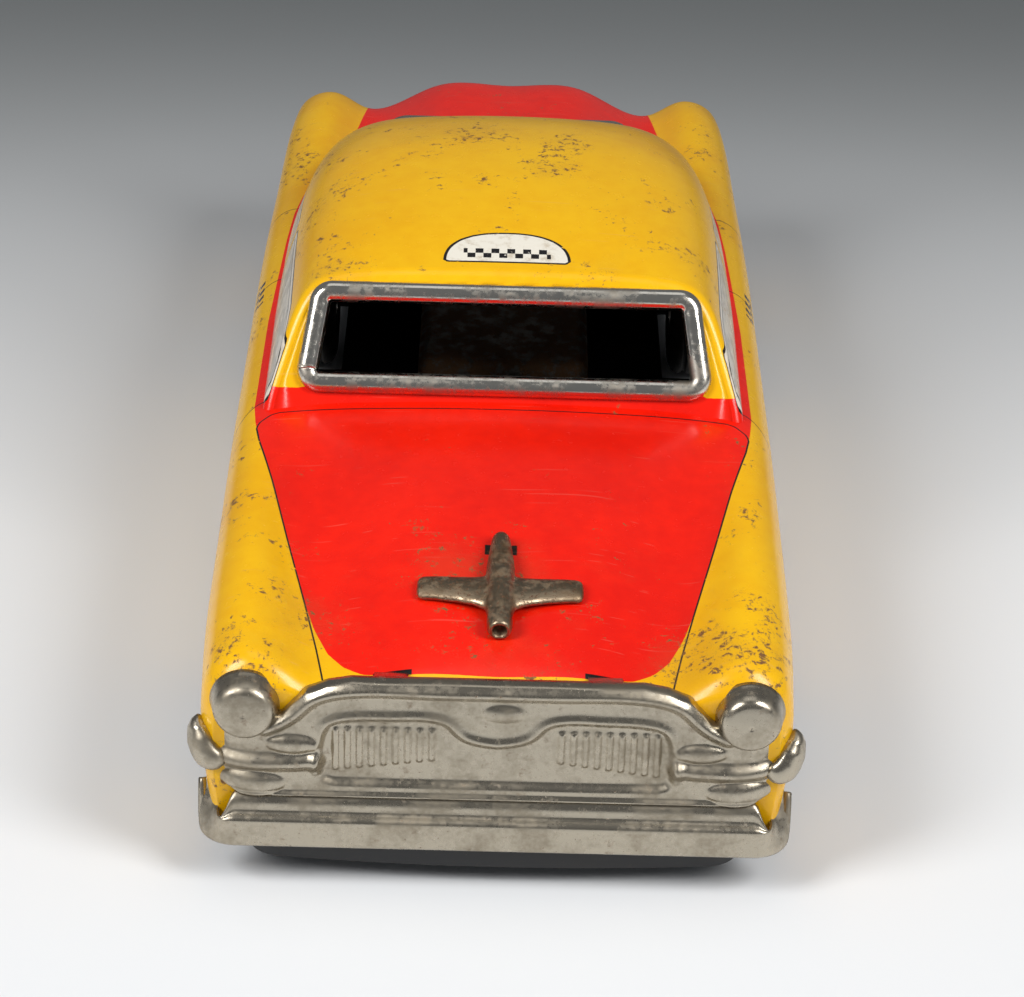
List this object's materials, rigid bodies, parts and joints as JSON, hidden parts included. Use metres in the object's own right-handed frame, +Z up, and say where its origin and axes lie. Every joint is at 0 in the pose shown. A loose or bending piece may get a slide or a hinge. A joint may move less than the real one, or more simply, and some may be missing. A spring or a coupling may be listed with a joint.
{
  "type": "friction tin car",
  "caption": "Pressed tin saloon car in yellow and red with plated trim, turning wheels and a geared flywheel friction motor.",
  "frame": {"origin": "on the ground under the middle of the car", "axes": "+Z up, the car's front faces -Y, +X is to the right of a viewer who faces the front"},
  "size_m": [0.082, 0.2006, 0.0583],
  "materials": {
    "tin_litho": "glossy lithographed enamel",
    "black_tin": "semi-gloss black enamel",
    "front_plating": "dull nickel plating",
    "rear_plating": "dull nickel plating",
    "frame_plating": "dull nickel plating",
    "ornament_metal": "plated, worn and rusty",
    "inner_tin": "bare tin plate",
    "rusty_tin": "rusty tin plate",
    "rod_steel": "bare steel",
    "tyre_rubber": "worn black rubber",
    "hub_plating": "plated tin",
    "gear_brass": "stamped brass",
    "flywheel_iron": "cast iron"
  },
  "bodies": {
    "car": {"body_shell": "tin_litho", "base_plate": "black_tin", "front_trim": "front_plating", "rear_trim": "rear_plating", "windshield_frame": "frame_plating", "rear_window_frame": "frame_plating", "hood_ornament": "ornament_metal", "front_axle_bracket": "inner_tin", "motor_cover": "rusty_tin", "motor_frame_left": "inner_tin", "motor_frame_right": "inner_tin", "frame_spacers": "rod_steel"},
    "front_wheels": {"front_axle": "rod_steel", "tyre_front_left": "tyre_rubber", "tyre_front_right": "tyre_rubber", "hub_front_left": "hub_plating", "hub_front_right": "hub_plating"},
    "rear_wheels": {"rear_axle": "rod_steel", "tyre_rear_left": "tyre_rubber", "tyre_rear_right": "tyre_rubber", "hub_rear_left": "hub_plating", "hub_rear_right": "hub_plating", "drive_gear": "gear_brass"},
    "first_train": {"first_shaft": "rod_steel", "first_pinion": "gear_brass", "first_gear": "gear_brass"},
    "second_train": {"second_shaft": "rod_steel", "second_pinion": "gear_brass", "second_gear": "gear_brass"},
    "flywheels": {"flywheel_shaft": "rod_steel", "flywheel_pinion": "gear_brass", "flywheel_left": "flywheel_iron", "flywheel_right": "flywheel_iron"}
  },
  "joints": [
    {"name": "rear_axle_spin", "type": "hinge", "parent": "car", "child": "rear_wheels", "pos_m": [0, 0.058, 0.013], "axis": [1, 0, 0], "continuous": true},
    {"name": "front_axle_spin", "type": "hinge", "parent": "car", "child": "front_wheels", "pos_m": [0, -0.062, 0.013], "axis": [1, 0, 0], "continuous": true},
    {"name": "first_shaft_spin", "type": "hinge", "parent": "car", "child": "first_train", "pos_m": [0, 0.04678, 0.015], "axis": [1, 0, 0], "continuous": true},
    {"name": "second_shaft_spin", "type": "hinge", "parent": "car", "child": "second_train", "pos_m": [0, 0.03538, 0.015], "axis": [1, 0, 0], "continuous": true},
    {"name": "flywheel_spin", "type": "hinge", "parent": "car", "child": "flywheels", "pos_m": [0, 0.02398, 0.015], "axis": [1, 0, 0], "continuous": true}
  ],
  "couplings": [
    {"joint": "first_shaft_spin", "follows": "rear_axle_spin", "ratio": -2.8},
    {"joint": "second_shaft_spin", "follows": "rear_axle_spin", "ratio": 7.84},
    {"joint": "flywheel_spin", "follows": "rear_axle_spin", "ratio": -21.952}
  ]
}
